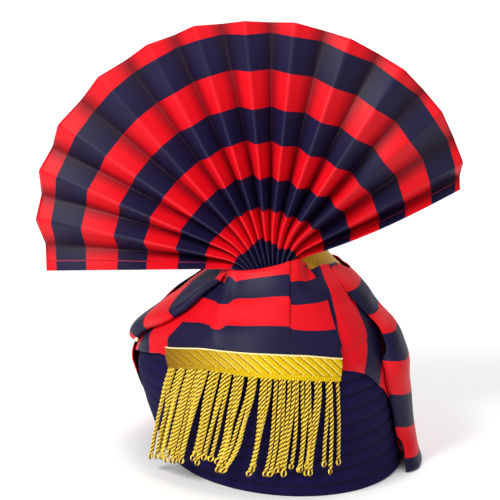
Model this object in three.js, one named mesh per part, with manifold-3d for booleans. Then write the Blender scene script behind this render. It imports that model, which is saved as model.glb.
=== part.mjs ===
// Tied turban pagri: a stiff, ready-tied turban on a quilted cap, with a pleated fan.
// Millimetres, +Z up, the front faces -Y. Theta runs round the head from the front to +X.
import * as THREE from 'three';
import Module from 'manifold-3d';
import { mergeVertices } from 'three/addons/utils/BufferGeometryUtils.js';

const wasm = await Module();
wasm.setup();

// Driving dimensions
const capWall = 4;
const kullahWall = 2;
const clothWall = 1.4;
const fanWall = 1.6;
const braidWall = 1.6;
const layerGap = 0.6;
const crownRise = 137;
const crownDome = 7;

// The head form: the cap's outer face, then the kullah's, as an oval at each rise. It is
// shifted to the side, moved back, and tipped, because the crown leans to the wearer's right.
const headForm = [
  { rise: 0, shift: 0, back: 0, width: 90, depth: 108, tip: 0 },
  { rise: 21, shift: -8, back: 0, width: 91.5, depth: 110, tip: 1 },
  { rise: 50, shift: -16.5, back: 0, width: 93.5, depth: 111, tip: 3 },
  { rise: 66, shift: -20.5, back: 0.5, width: 94, depth: 109.5, tip: 4 },
  { rise: 80, shift: -21.5, back: 1, width: 90.5, depth: 106, tip: 5 },
  { rise: 108, shift: -22, back: 3, width: 73, depth: 89, tip: 8 },
  { rise: 126, shift: -19.5, back: 5, width: 54, depth: 69, tip: 9.5 },
  { rise: 137, shift: -18.5, back: 6, width: 41.5, depth: 53, tip: 11 },
  { rise: 150, shift: -19, back: 7, width: 32, depth: 40, tip: 13 },
  { rise: 164, shift: -22, back: 8, width: 19, depth: 24, tip: 14.5 },
  { rise: 175, shift: -24, back: 8, width: 8, depth: 10, tip: 14.5 },
  { rise: 180, shift: -25, back: 8, width: 0, depth: 0, tip: 14.5 },
];
const capRises = [0, 10, 24, 38, 52, 66, 80, 93, 105, 116, 127, 137];
const capDomeShares = [0.7, 0.35, 0];
const kullahRises = [128, 137, 146, 155, 164, 171, 176, 180];

// Front flap: its lower and upper edge by theta, and its right edge by rise.
const flapLeft = -86;
const flapEdges = [
  { theta: -86, bottom: 72, top: 95 },
  { theta: -76, bottom: 77, top: 107 },
  { theta: -66, bottom: 81.5, top: 118 },
  { theta: -57, bottom: 85, top: 134 },
  { theta: -48, bottom: 88, top: 137.5 },
  { theta: -30, bottom: 87, top: 138 },
  { theta: -12, bottom: 88, top: 139 },
  { theta: 12, bottom: 86, top: 141 },
  { theta: 30, bottom: 82, top: 144 },
  { theta: 48, bottom: 79, top: 143 },
];
const flapRight = [
  { rise: 80, theta: 43 },
  { rise: 88, theta: 45 },
  { rise: 109, theta: 47 },
  { rise: 121, theta: 48 },
  { rise: 133, theta: 45 },
  { rise: 143, theta: 39 },
];
const softPleat = [
  { rise: 100, theta: -19, height: 0 },
  { rise: 110, theta: -22, height: 2 },
  { rise: 125, theta: -27, height: 3 },
  { rise: 140, theta: -33, height: 3 },
];
const knifePleat = { theta: 20, step: 1.8, from: 100, full: 118 };
const fanPocket = { halfAngle: 26, fade: 14, from: 125, full: 138, depth: 8 };

// Left roll: its lower and its upper edge, from the front of the crown round to the back.
const rollEdges = [
  { along: 0, lowTheta: -42, low: 134, topTheta: -41, top: 143, puff: 1 },
  { along: 0.14, lowTheta: -46, low: 126, topTheta: -46, top: 143, puff: 3 },
  { along: 0.3, lowTheta: -51, low: 116, topTheta: -53, top: 142, puff: 4.5 },
  { along: 0.46, lowTheta: -60, low: 105, topTheta: -62, top: 140, puff: 4.5 },
  { along: 0.64, lowTheta: -74, low: 94, topTheta: -76, top: 139, puff: 6 },
  { along: 0.8, lowTheta: -88, low: 77, topTheta: -90, top: 138, puff: 8.2 },
  { along: 0.9, lowTheta: -98, low: 87, topTheta: -99, top: 137, puff: 3.5 },
  { along: 1, lowTheta: -108, low: 92, topTheta: -108, top: 137, puff: 0 },
];

// Right wrap: its arched hem and its upper edge by theta.
const wrapEdges = [
  { theta: 34, bottom: 84, top: 137 },
  { theta: 44, bottom: 81.5, top: 139 },
  { theta: 57, bottom: 75, top: 139 },
  { theta: 67, bottom: 64, top: 138 },
  { theta: 76, bottom: 53, top: 134 },
  { theta: 81, bottom: 36, top: 131.5 },
  { theta: 86, bottom: 8, top: 129 },
  { theta: 98, bottom: 3, top: 126 },
];

// Shamla: the turned front edge at the right, the free edge at the left, and the folds.
const shamlaRight = [
  { rise: 0, theta: 74, out: 15 },
  { rise: 8, theta: 76.5, out: 14 },
  { rise: 22, theta: 80, out: 13.2 },
  { rise: 34, theta: 79, out: 13.5 },
  { rise: 52, theta: 76.5, out: 14 },
  { rise: 68, theta: 74, out: 15 },
  { rise: 80, theta: 73, out: 14 },
  { rise: 90, theta: 75, out: 12 },
  { rise: 103, theta: 78, out: 5.5 },
  { rise: 112, theta: 74.5, out: 6.3 },
  { rise: 120, theta: 70.5, out: 6.3 },
  { rise: 131, theta: 66.5, out: 6 },
  { rise: 139, theta: 69, out: 6 },
];
const shamlaLeft = [
  { rise: 0, theta: 252, out: 4 },
  { rise: 24, theta: 266, out: 2.2 },
  { rise: 38, theta: 275, out: 2 },
  { rise: 50, theta: 277, out: 2.6 },
  { rise: 61, theta: 277, out: 3.4 },
  { rise: 69, theta: 276, out: 5 },
  { rise: 77, theta: 265, out: 6.5 },
  { rise: 90, theta: 258, out: 8.5 },
  { rise: 105, theta: 256, out: 8.5 },
  { rise: 142, theta: 252, out: 8.5 },
];
const shamlaFolds = [
  { theta: 90, out: 12 },
  { theta: 103, out: 10 },
  { theta: 116, out: 6 },
  { theta: 130, out: 12 },
  { theta: 146, out: 6.5 },
  { theta: 161, out: 13 },
  { theta: 177, out: 7 },
  { theta: 193, out: 13 },
  { theta: 208, out: 6.5 },
  { theta: 223, out: 11 },
  { theta: 238, out: 6.5 },
  { theta: 252, out: 9 },
  { theta: 276, out: 9 },
];
const shamlaHem = [
  { theta: 66, bottom: 0.5, top: 137.5 },
  { theta: 78, bottom: 0.6, top: 136 },
  { theta: 87, bottom: 0.8, top: 131 },
  { theta: 95, bottom: 1, top: 127 },
  { theta: 118, bottom: 3, top: 125 },
  { theta: 145, bottom: 4.5, top: 130 },
  { theta: 180, bottom: 6, top: 138 },
  { theta: 230, bottom: 9, top: 139 },
  { theta: 280, bottom: 10, top: 139 },
];
const rollWidth = 10;
const foldsAtCrown = 0.5;
const plumbBelow = 30;

// Gold braid along the flap's lower edge.
const braidEdges = [
  { across: 0, lowTheta: -38, low: 81, topTheta: -46, top: 93 },
  { across: 0.27, lowTheta: -17, low: 85, topTheta: -20, top: 98 },
  { across: 0.5, lowTheta: 2, low: 83, topTheta: 2, top: 97 },
  { across: 0.77, lowTheta: 24, low: 79.5, topTheta: 24, top: 94 },
  { across: 1, lowTheta: 41, low: 75, topTheta: 44, top: 88 },
];

// Fringe: one row for each lock of cords, from where it leaves the head to its loops.
const fringeHeadHeight = 4;
const headGap = 0.3;
const lockClearance = 4.4;
const lockDepth = 2.3;
const fringeLocks = [
  { across: 0.02, length: 69, slant: 7, width: 4.2 },
  { across: 0.09, length: 68, slant: 8, width: 4.2 },
  { across: 0.16, length: 70, slant: 9, width: 4.6 },
  { across: 0.23, length: 70, slant: 9.5, width: 4.6 },
  { across: 0.3, length: 69, slant: 9, width: 4.6 },
  { across: 0.37, length: 70, slant: 9, width: 4.6 },
  { across: 0.44, length: 71, slant: 9, width: 4.6 },
  { across: 0.51, length: 71, slant: 8, width: 4.6 },
  { across: 0.58, length: 71, slant: 7, width: 4.6 },
  { across: 0.65, length: 70, slant: 5, width: 4.6 },
  { across: 0.72, length: 69, slant: 3, width: 4.6 },
  { across: 0.79, length: 68, slant: 2, width: 4.6 },
  { across: 0.86, length: 67, slant: 2, width: 4.4 },
  { across: 0.93, length: 66, slant: 0, width: 4.2 },
  { across: 0.985, length: 65, slant: -1, width: 3.4 },
];

// Fan: pleat edges as angles in the crown's own frame, which leans with the crown.
const crownLean = 14.5;
const fanFoot = new THREE.Vector3(-18, -50, 150);
const fanFootHalfWidth = 16;
const fanPleats = [
  { angle: 177, length: 186, sag: 0 },
  { angle: 164, length: 191, sag: 0 },
  { angle: 152, length: 193.5, sag: 0 },
  { angle: 140, length: 192, sag: 0 },
  { angle: 125, length: 188.5, sag: 0 },
  { angle: 111, length: 184.5, sag: 0 },
  { angle: 99, length: 182.5, sag: 0 },
  { angle: 87, length: 178, sag: 0 },
  { angle: 75, length: 177, sag: 0 },
  { angle: 61, length: 175, sag: 0 },
  { angle: 46, length: 174, sag: 0 },
  { angle: 31, length: 173, sag: 0 },
  { angle: 15, length: 173.5, sag: 1.5 },
  { angle: 7, length: 168, sag: 5 },
];
const fanLean = [
  { angle: 7, back: 33.5 },
  { angle: 50, back: 17 },
  { angle: 92, back: 12 },
  { angle: 135, back: 13.5 },
  { angle: 177, back: 18 },
];
const fanRows = [
  { share: 0, depth: 3 },
  { share: 0.09, depth: 6.5 },
  { share: 0.22, depth: 14 },
  { share: 0.38, depth: 18 },
  { share: 0.57, depth: 16 },
  { share: 0.78, depth: 13 },
  { share: 1, depth: 10 },
];
const fanTuck = 5;
const fanGather = 0.2;
const valleyStep = 2.5;

// Pin heads, each resting on the cloth
const seatGap = 0.45;
const pearlRadius = 1.7;
const pearlOnFlap = { theta: -80.5, rise: 81.7 };
const tackRadius = 1.1;
const tackOnFlap = { theta: 37.5, rise: 140, lift: 0.9 };
const tackOnShamla = { theta: 76, rise: 134.3 };

const degrees = THREE.MathUtils.degToRad;

// A monotone curve through one column of a table.
function slopeAt(table, key, column, row) {
  const secant = (i) => (table[i + 1][column] - table[i][column]) / (table[i + 1][key] - table[i][key]);
  if (row === 0) return secant(0);
  if (row === table.length - 1) return secant(row - 1);
  const before = secant(row - 1);
  const after = secant(row);
  return before * after > 0 ? (2 * before * after) / (before + after) : 0;
}

function read(table, key, wanted) {
  const last = table.length - 1;
  const at = THREE.MathUtils.clamp(wanted, table[0][key], table[last][key]);
  let low = 0;
  while (low < last - 1 && table[low + 1][key] < at) low += 1;
  const span = table[low + 1][key] - table[low][key];
  const t = (at - table[low][key]) / span;
  const result = {};
  for (const column of Object.keys(table[0])) {
    const start = table[low][column] * (1 + 2 * t) * (1 - t) ** 2;
    const end = table[low + 1][column] * (3 - 2 * t) * t ** 2;
    const leave = slopeAt(table, key, column, low) * span * t * (1 - t) ** 2;
    const arrive = slopeAt(table, key, column, low + 1) * span * t ** 2 * (1 - t);
    result[column] = start + end + leave - arrive;
  }
  return result;
}

function mix(from, to, share) {
  return from + (to - from) * share;
}

function bump(distance, halfWidth) {
  return Math.exp(-((distance / halfWidth) ** 2));
}

// Points on the head form, and at a distance out from it.
function onForm(theta, rise) {
  const oval = read(headForm, 'rise', rise);
  const x = oval.width * Math.sin(degrees(theta));
  const y = -oval.depth * Math.cos(degrees(theta));
  const tip = degrees(oval.tip);
  return new THREE.Vector3(oval.shift + x * Math.cos(tip), oval.back + y, oval.rise + x * Math.sin(tip));
}

function formNormal(theta, rise) {
  const along = onForm(theta + 0.2, rise).sub(onForm(theta - 0.2, rise));
  const up = onForm(theta, rise + 0.2).sub(onForm(theta, rise - 0.2));
  const normal = along.cross(up);
  if (normal.length() < 1e-9) {
    const tip = degrees(headForm[headForm.length - 1].tip);
    return new THREE.Vector3(-Math.sin(tip), 0, Math.cos(tip));
  }
  return normal.normalize();
}

function offForm(theta, rise, out) {
  return onForm(theta, rise).addScaledVector(formNormal(theta, rise), out);
}

// The wraps rise over the kullah's skirt near the crown.
function crownStep(rise) {
  return (kullahWall + layerGap) * THREE.MathUtils.smoothstep(rise, 114, 126);
}

// A closed body between two grids of points: rows go up, columns go round.
function skin(outside, inside, around) {
  const positions = [];
  const triangle = (a, b, c) => {
    if (a.distanceTo(b) < 1e-6 || b.distanceTo(c) < 1e-6 || c.distanceTo(a) < 1e-6) return;
    positions.push(...a.toArray(), ...b.toArray(), ...c.toArray());
  };
  const quad = (a, b, c, d) => {
    triangle(a, b, c);
    triangle(a, c, d);
  };
  const rows = outside.length;
  const columns = outside[0].length;
  const lastColumn = around ? columns : columns - 1;
  for (let row = 0; row < rows - 1; row += 1) {
    for (let column = 0; column < lastColumn; column += 1) {
      const next = (column + 1) % columns;
      quad(outside[row][column], outside[row][next], outside[row + 1][next], outside[row + 1][column]);
      quad(inside[row][column], inside[row + 1][column], inside[row + 1][next], inside[row][next]);
    }
  }
  for (let column = 0; column < lastColumn; column += 1) {
    const next = (column + 1) % columns;
    quad(inside[0][column], inside[0][next], outside[0][next], outside[0][column]);
    const top = rows - 1;
    quad(outside[top][column], outside[top][next], inside[top][next], inside[top][column]);
  }
  if (!around) {
    const end = columns - 1;
    for (let row = 0; row < rows - 1; row += 1) {
      quad(inside[row][0], outside[row][0], outside[row + 1][0], inside[row + 1][0]);
      quad(outside[row][end], inside[row][end], inside[row + 1][end], outside[row + 1][end]);
    }
  }
  const loose = new THREE.BufferGeometry();
  loose.setAttribute('position', new THREE.Float32BufferAttribute(positions, 3));
  return facingOut(mergeVertices(loose, 1e-4));
}

function facingOut(geometry) {
  const position = geometry.attributes.position;
  const corners = geometry.index.array;
  let volume = 0;
  for (let i = 0; i < corners.length; i += 3) {
    const a = new THREE.Vector3().fromBufferAttribute(position, corners[i]);
    const b = new THREE.Vector3().fromBufferAttribute(position, corners[i + 1]);
    const c = new THREE.Vector3().fromBufferAttribute(position, corners[i + 2]);
    volume += a.dot(b.cross(c)) / 6;
  }
  if (volume < 0) {
    for (let i = 0; i < corners.length; i += 3) {
      const kept = corners[i];
      corners[i] = corners[i + 1];
      corners[i + 1] = kept;
    }
  }
  return geometry;
}

// Cloth of one thickness: place gives the point at a share across, a share up and a lift.
function cloth(columns, rows, wall, place) {
  const layer = (lift) => {
    const grid = [];
    for (let row = 0; row <= rows; row += 1) {
      const line = [];
      for (let column = 0; column <= columns; column += 1) {
        line.push(place(column / columns, row / rows, lift));
      }
      grid.push(line);
    }
    return grid;
  };
  return skin(layer(wall / 2), layer(-wall / 2), false);
}

// Cap: quilted wall, open below, with a low dome hidden under the kullah.
function capGeometry() {
  const columns = 36;
  const centre = read(headForm, 'rise', crownRise);
  const middle = new THREE.Vector3(centre.shift, centre.back, crownRise);
  const axis = new THREE.Vector3(-Math.sin(degrees(centre.tip)), 0, Math.cos(degrees(centre.tip)));
  const grid = (out) => {
    const rows = [];
    for (const rise of capRises) {
      const row = [];
      for (let column = 0; column < columns; column += 1) {
        const point = offForm((360 * column) / columns, rise, out);
        if (rise === 0) point.z = 0;
        row.push(point);
      }
      rows.push(row);
    }
    const ring = rows[rows.length - 1];
    for (const share of capDomeShares) {
      const height = crownDome * (1 - share ** 2) + out * (1 - share);
      rows.push(ring.map((edge) => middle.clone().lerp(edge, share).addScaledVector(axis, height)));
    }
    return rows;
  };
  return skin(grid(0), grid(-capWall), true);
}

// Kullah: a cone with a rounded tip whose skirt lies on the cap.
function kullahGeometry() {
  const columns = 28;
  const grid = (out) => kullahRises.map((rise) => {
    const row = [];
    for (let column = 0; column < columns; column += 1) {
      row.push(offForm((360 * column) / columns, rise, out));
    }
    return row;
  });
  return skin(grid(kullahWall + layerGap), grid(layerGap), true);
}

// Front flap: a soft pleat at the left, a knife pleat at the right, a pocket for the fan.
function flapOut(theta, rise) {
  const base = 2 * layerGap + 1.5 * clothWall + crownStep(rise);
  const soft = read(softPleat, 'rise', rise);
  const softFold = soft.height * bump(theta - soft.theta, 5);
  const depth = knifePleat.step * THREE.MathUtils.smoothstep(rise, knifePleat.from, knifePleat.full);
  const onTop = 1 - THREE.MathUtils.smoothstep(theta, knifePleat.theta, knifePleat.theta + 1);
  const fading = THREE.MathUtils.smoothstep(theta, knifePleat.theta - 30, knifePleat.theta);
  const reach = THREE.MathUtils.smoothstep(rise, fanPocket.from, fanPocket.full);
  const beside = (Math.abs(theta) - fanPocket.halfAngle) / fanPocket.fade;
  const mouth = fanPocket.depth * reach * (1 - THREE.MathUtils.smoothstep(beside, 0, 1));
  return base + softFold + depth * onTop * fading + mouth;
}

function flapGeometry() {
  return cloth(34, 11, clothWall, (across, up, lift) => {
    const guess = mix(80, 143, up);
    const theta = mix(flapLeft, read(flapRight, 'rise', guess).theta, across);
    const edge = read(flapEdges, 'theta', theta);
    const rise = mix(edge.bottom, edge.top, up);
    return offForm(theta, rise, flapOut(theta, rise) + lift);
  });
}

// Left roll: padded, with its lower edge turned under over the flap.
function rollSpot(across, up) {
  const edge = read(rollEdges, 'along', across);
  const theta = mix(edge.lowTheta, edge.topTheta, up);
  const rise = mix(edge.low, edge.top, up);
  const overFlap = 1 - THREE.MathUtils.smoothstep(across, 0.8, 0.95);
  const base = 2 * layerGap + 1.5 * clothWall + overFlap * (layerGap + clothWall) + crownStep(rise);
  const round = Math.sin(Math.PI * Math.min(1, 0.03 + up ** 0.35 * 0.97)) ** 2;
  return { theta, rise, out: base + edge.puff * round };
}

function rollGeometry() {
  return cloth(16, 9, clothWall, (across, up, lift) => {
    const spot = rollSpot(across, up);
    return offForm(spot.theta, spot.rise, spot.out + lift);
  });
}

function wrapGeometry() {
  return cloth(20, 12, clothWall, (across, up, lift) => {
    const theta = mix(wrapEdges[0].theta, wrapEdges[wrapEdges.length - 1].theta, across);
    const edge = read(wrapEdges, 'theta', theta);
    const rise = mix(edge.bottom, edge.top, up);
    return offForm(theta, rise, layerGap + clothWall / 2 + crownStep(rise) + lift);
  });
}

// Shamla: from the turned edge at the right, round the back, to the free edge at the left.
function shamlaOut(theta, rise) {
  const right = read(shamlaRight, 'rise', rise);
  const left = read(shamlaLeft, 'rise', rise);
  const lowest = 2 * layerGap + 1.5 * clothWall + crownStep(rise);
  const height = THREE.MathUtils.clamp(rise / crownRise, 0, 1);
  const folds = read(shamlaFolds, 'theta', theta).out * mix(1, foldsAtCrown, height ** 2);
  const fromRight = THREE.MathUtils.clamp((theta - right.theta) / rollWidth, 0, 1);
  const turned = Math.sqrt(1 - (1 - fromRight) ** 2);
  const rolled = mix(lowest, right.out, turned);
  const behind = mix(rolled, Math.max(folds, lowest), THREE.MathUtils.smoothstep(theta, 92, 112));
  return mix(left.out, behind, THREE.MathUtils.smoothstep(left.theta - theta, 0, 22));
}

function shamlaGeometry() {
  return cloth(42, 11, clothWall, (across, up, lift) => {
    const guess = mix(3, 141, up);
    const from = read(shamlaRight, 'rise', guess).theta;
    const to = read(shamlaLeft, 'rise', guess).theta;
    const spread = across < 0.12 ? across * 0.75 : mix(0.09, 1, (across - 0.12) / 0.88);
    const theta = mix(from, to, spread);
    const edge = read(shamlaHem, 'theta', theta);
    const rise = mix(edge.bottom, edge.top, up);
    const out = shamlaOut(theta, rise) + lift;
    const point = offForm(theta, rise, out);
    const hang = 1 - THREE.MathUtils.smoothstep(rise, 0, plumbBelow);
    point.z -= formNormal(theta, rise).z * out * hang;
    return point;
  });
}

function braidGeometry() {
  return cloth(26, 2, braidWall, (across, up, lift) => {
    const edge = read(braidEdges, 'across', across);
    const theta = mix(edge.lowTheta, edge.topTheta, up);
    const rise = mix(edge.low, edge.top, up);
    return offForm(theta, rise, flapOut(0, 100) + clothWall / 2 + layerGap + braidWall / 2 + lift);
  });
}

// Fringe: locks joined to a narrow head under the braid, each hanging past the cap's face.
function pushedOut(point, clearance) {
  let rise = point.z;
  let oval = read(headForm, 'rise', rise);
  for (let pass = 0; pass < 3; pass += 1) {
    rise = point.z - (point.x - oval.shift) * Math.tan(degrees(oval.tip));
    oval = read(headForm, 'rise', rise);
  }
  const x = (point.x - oval.shift) / (oval.width + clearance);
  const y = (point.y - oval.back) / (oval.depth + clearance);
  const share = Math.hypot(x, y);
  if (share >= 1) return point;
  return new THREE.Vector3(
    oval.shift + (point.x - oval.shift) / share,
    oval.back + (point.y - oval.back) / share,
    point.z,
  );
}

function asSolid(geometry) {
  return new wasm.Manifold(new wasm.Mesh({
    numProp: 3,
    vertProperties: geometry.attributes.position.array,
    triVerts: Uint32Array.from(geometry.index.array),
  }));
}

function lockGeometry(lock) {
  const edge = read(braidEdges, 'across', lock.across);
  const rows = 5;
  const sides = 5;
  const centres = [];
  let point = offForm(edge.lowTheta, edge.low - fringeHeadHeight / 2, lockClearance);
  for (let row = 0; row <= rows; row += 1) {
    centres.push(point);
    const step = lock.length / rows;
    const sideways = step * Math.tan(degrees(lock.slant)) * Math.min(1, row / 2);
    point = pushedOut(point.clone().add(new THREE.Vector3(-sideways, 0, -step)), lockClearance);
  }
  const facing = degrees(edge.lowTheta);
  const across = new THREE.Vector3(Math.cos(facing), Math.sin(facing), 0);
  const outward = new THREE.Vector3(Math.sin(facing), -Math.cos(facing), 0);
  const ring = (centre, share) => {
    const points = [];
    for (let side = 0; side < sides; side += 1) {
      const turn = (2 * Math.PI * side) / sides;
      points.push(centre.clone()
        .addScaledVector(across, lock.width * share * Math.cos(turn))
        .addScaledVector(outward, lockDepth * share * Math.sin(turn)));
    }
    return points;
  };
  const shares = centres.map((centre, row) => (row === rows ? 0.55 : mix(0.7, 1, Math.min(1, row / 2))));
  const rings = centres.map((centre, row) => ring(centre, shares[row]));
  const axisRings = centres.map((centre) => ring(centre, 0));
  return skin(rings, axisRings, true);
}

function fringeGeometry() {
  const head = cloth(26, 1, 2 * lockDepth, (across, up, lift) => {
    const edge = read(braidEdges, 'across', across);
    const rise = edge.low - headGap - fringeHeadHeight * (1 - up);
    return offForm(edge.lowTheta, rise, lockClearance + lift);
  });
  let joined = asSolid(head);
  for (const lock of fringeLocks) {
    joined = joined.add(asSolid(lockGeometry(lock)));
  }
  const result = joined.getMesh();
  const geometry = new THREE.BufferGeometry();
  geometry.setAttribute('position', new THREE.BufferAttribute(result.vertProperties, 3));
  geometry.setIndex(new THREE.BufferAttribute(result.triVerts, 1));
  return geometry;
}

// Fan: pleats that fold to and fro in depth, gathered to a narrow foot.
function fanGeometry() {
  const lean = degrees(crownLean);
  const sideways = new THREE.Vector3(Math.cos(lean), 0, Math.sin(lean));
  const upward = new THREE.Vector3(-Math.sin(lean), 0, Math.cos(lean));
  const edges = [];
  fanPleats.forEach((pleat, index) => {
    edges.push({ ...pleat, behind: 0 });
    const next = fanPleats[index + 1];
    if (next) {
      edges.push({
        angle: mix(pleat.angle, next.angle, 0.5),
        length: mix(pleat.length, next.length, 0.5) - valleyStep,
        sag: mix(pleat.sag, next.sag, 0.5),
        behind: 1,
      });
    }
  });
  const layer = (lift) => fanRows.map((row) => edges.map((edge) => {
    const back = degrees(read(fanLean, 'angle', edge.angle).back);
    const turn = degrees(edge.angle);
    const reach = edge.length * row.share;
    const gathered = Math.max(0, 1 - row.share / fanGather) ** 2;
    const footX = (fanFootHalfWidth * (92 - edge.angle)) / 85;
    const x = reach * Math.cos(back) * Math.cos(turn) + gathered * footX;
    const drop = gathered * fanTuck + edge.sag * Math.sin(Math.PI * row.share);
    const z = reach * Math.cos(back) * Math.sin(turn) - drop;
    const y = reach * Math.sin(back) + edge.behind * row.depth - lift * (1 + gathered);
    return fanFoot.clone().addScaledVector(sideways, x).addScaledVector(upward, z)
      .add(new THREE.Vector3(0, y, 0));
  }));
  return skin(layer(fanWall / 2), layer(-fanWall / 2), false);
}

function pearlGeometry() {
  const profile = [];
  for (let turn = 0; turn <= 180; turn += 30) {
    const angle = degrees(turn);
    profile.push(new THREE.Vector2(pearlRadius * Math.sin(angle), pearlRadius * (1 - Math.cos(angle))));
  }
  return new THREE.LatheGeometry(profile, 10);
}

function tackGeometry() {
  const profile = [
    new THREE.Vector2(0, 0),
    new THREE.Vector2(tackRadius, 0),
    new THREE.Vector2(tackRadius * 0.8, tackRadius * 0.6),
    new THREE.Vector2(0, tackRadius),
  ];
  return new THREE.LatheGeometry(profile, 8);
}

const hat = new THREE.Group();

function add(name, geometry, color, roughness, metalness = 0) {
  const mesh = new THREE.Mesh(geometry, new THREE.MeshStandardMaterial({ color, roughness, metalness }));
  mesh.name = name;
  hat.add(mesh);
  return mesh;
}

function seat(mesh, theta, rise, out) {
  mesh.position.copy(offForm(theta, rise, out + clothWall / 2 + seatGap));
  mesh.quaternion.setFromUnitVectors(new THREE.Vector3(0, 1, 0), formNormal(theta, rise));
}

add('cap', capGeometry(), 0x15122a, 0.85);
add('kullah', kullahGeometry(), 0xb37a1d, 0.45, 0.3);
add('turra', fanGeometry(), 0xe50d21, 0.5);
add('front_flap', flapGeometry(), 0xf0303a, 0.55);
add('left_roll', rollGeometry(), 0xd8202a, 0.55);
add('right_wrap', wrapGeometry(), 0xae0416, 0.55);
add('shamla', shamlaGeometry(), 0xb0101c, 0.55);
add('gold_braid', braidGeometry(), 0xbb9317, 0.4, 0.4);
add('fringe', fringeGeometry(), 0xd5b753, 0.45, 0.3);
const pearlPin = add('pearl_pin', pearlGeometry(), 0xf4ead2, 0.25);
seat(pearlPin, pearlOnFlap.theta, pearlOnFlap.rise, flapOut(pearlOnFlap.theta, pearlOnFlap.rise));
const flapTack = add('tack_left', tackGeometry(), 0x111111, 0.4);
const flapTop = flapOut(tackOnFlap.theta, tackOnFlap.rise) + tackOnFlap.lift;
seat(flapTack, tackOnFlap.theta, tackOnFlap.rise, flapTop);
const shamlaTack = add('tack_right', tackGeometry(), 0x111111, 0.4);
seat(shamlaTack, tackOnShamla.theta, tackOnShamla.rise, shamlaOut(tackOnShamla.theta, tackOnShamla.rise));

// The origin is under the middle of the whole hat, on the surface that it stands on.
const extent = new THREE.Box3().setFromObject(hat);
const middle = extent.getCenter(new THREE.Vector3());
hat.position.set(-middle.x, -middle.y, -extent.min.z);

export default hat;
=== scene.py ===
import math
import random

import bmesh
import bpy
import numpy as np
from mathutils import Matrix, Vector, noise


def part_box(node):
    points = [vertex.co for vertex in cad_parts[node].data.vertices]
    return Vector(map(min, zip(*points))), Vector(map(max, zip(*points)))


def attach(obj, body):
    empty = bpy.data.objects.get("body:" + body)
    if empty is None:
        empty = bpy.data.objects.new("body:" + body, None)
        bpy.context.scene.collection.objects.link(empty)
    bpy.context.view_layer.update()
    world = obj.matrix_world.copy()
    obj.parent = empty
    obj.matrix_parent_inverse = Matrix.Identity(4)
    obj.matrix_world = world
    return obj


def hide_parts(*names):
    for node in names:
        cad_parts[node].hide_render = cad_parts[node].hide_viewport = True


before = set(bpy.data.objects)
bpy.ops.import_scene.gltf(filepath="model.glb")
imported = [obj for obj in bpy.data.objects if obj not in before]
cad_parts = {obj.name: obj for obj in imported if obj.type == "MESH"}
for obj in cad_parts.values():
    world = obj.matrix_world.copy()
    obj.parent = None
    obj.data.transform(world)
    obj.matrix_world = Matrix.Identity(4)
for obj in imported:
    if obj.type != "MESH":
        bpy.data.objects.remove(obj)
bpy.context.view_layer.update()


# Cap: the stiff skull cap under the wraps, of navy cotton over wadding. It is open below,
# quilted in rows of lockstitch about 9 mm apart, and its rim is a plain turned hem.
MM = 0.001
quilt_row = 9.4
lowest_quilt_row = 7.5
quilt_dip = 1.3
least_quilting = 0.15
left_fade = (-75, -35)
back_fade = (120, 150)
cap_wall = 4.0
crown_rise = 137.0
crown_dome = 7.0

rim_rounding = 1.2
dome_reach = 40.0
wrinkle_height = 0.35

rim_low, rim_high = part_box("cap")
rim_radius = 90.0
rim_depth = 108.0
rim_round = math.pi * (rim_radius + rim_depth)
rim_centre = np.array([rim_high.x / MM - rim_radius, (rim_low.y + rim_high.y) / 2 / MM, 0])


def table(names, *rows):
    """Named columns of a short table."""
    return dict(zip(names.split(), np.array(rows, float).T))


def read(chart, key, wanted):
    """Every column of a table on a smooth curve that never overshoots its rows."""
    keys = chart[key]
    at = np.clip(wanted, keys[0], keys[-1])
    low = np.clip(np.searchsorted(keys, at) - 1, 0, len(keys) - 2)
    span = keys[low + 1] - keys[low]
    t = (at - keys[low]) / span
    found = {}
    for name, column in chart.items():
        secant = np.diff(column) / np.diff(keys)
        before, after = secant[:-1], secant[1:]
        same_way = before * after > 0
        total = np.where(same_way, before + after, 1)
        inner = np.where(same_way, 2 * before * after / total, 0)
        slope = np.concatenate((secant[:1], inner, secant[-1:]))
        ends = column[low] * (1 + 2 * t) * (1 - t) ** 2 + column[low + 1] * (3 - 2 * t) * t ** 2
        bends = slope[low] * t * (1 - t) ** 2 - slope[low + 1] * t ** 2 * (1 - t)
        found[name] = ends + span * bends
    return found


def read_at(chart, key, value):
    """Every column of a table at a single value."""
    return {name: column[0] for name, column in read(chart, key, np.array([value])).items()}


def mix(start, end, share):
    return start + (end - start) * share


def smooth(value, low, high):
    """Rises from 0 at low to 1 at high, softly at both ends."""
    t = np.clip((value - low) / (high - low), 0, 1)
    return t * t * (3 - 2 * t)


# The head form in millimetres: an oval at each rise, shifted to the side, moved back and
# tipped with the crown. Theta runs round it in degrees, from the front to the tail's turned edge.
head_form = table(
    "rise shift back width depth tip",
    (0, 0, 0, 90, 108, 0),
    (21, -8, 0, 91.5, 110, 1),
    (50, -16.5, 0, 93.5, 111, 3),
    (66, -20.5, 0.5, 94, 109.5, 4),
    (80, -21.5, 1, 90.5, 106, 5),
    (108, -22, 3, 73, 89, 8),
    (126, -19.5, 5, 54, 69, 9.5),
    (137, -18.5, 6, 41.5, 53, 11),
    (150, -19, 7, 32, 40, 13),
    (164, -22, 8, 19, 24, 14.5),
    (175, -24, 8, 8, 10, 14.5),
    (180, -25, 8, 0, 0, 14.5),
)


def on_form(theta, rise):
    theta, rise = np.broadcast_arrays(theta, rise)
    oval = read(head_form, "rise", rise)
    x = oval["width"] * np.sin(np.radians(theta))
    y = -oval["depth"] * np.cos(np.radians(theta))
    tip = np.radians(oval["tip"])
    columns = (oval["shift"] + x * np.cos(tip), oval["back"] + y, oval["rise"] + x * np.sin(tip))
    return np.stack(columns, -1)


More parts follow.
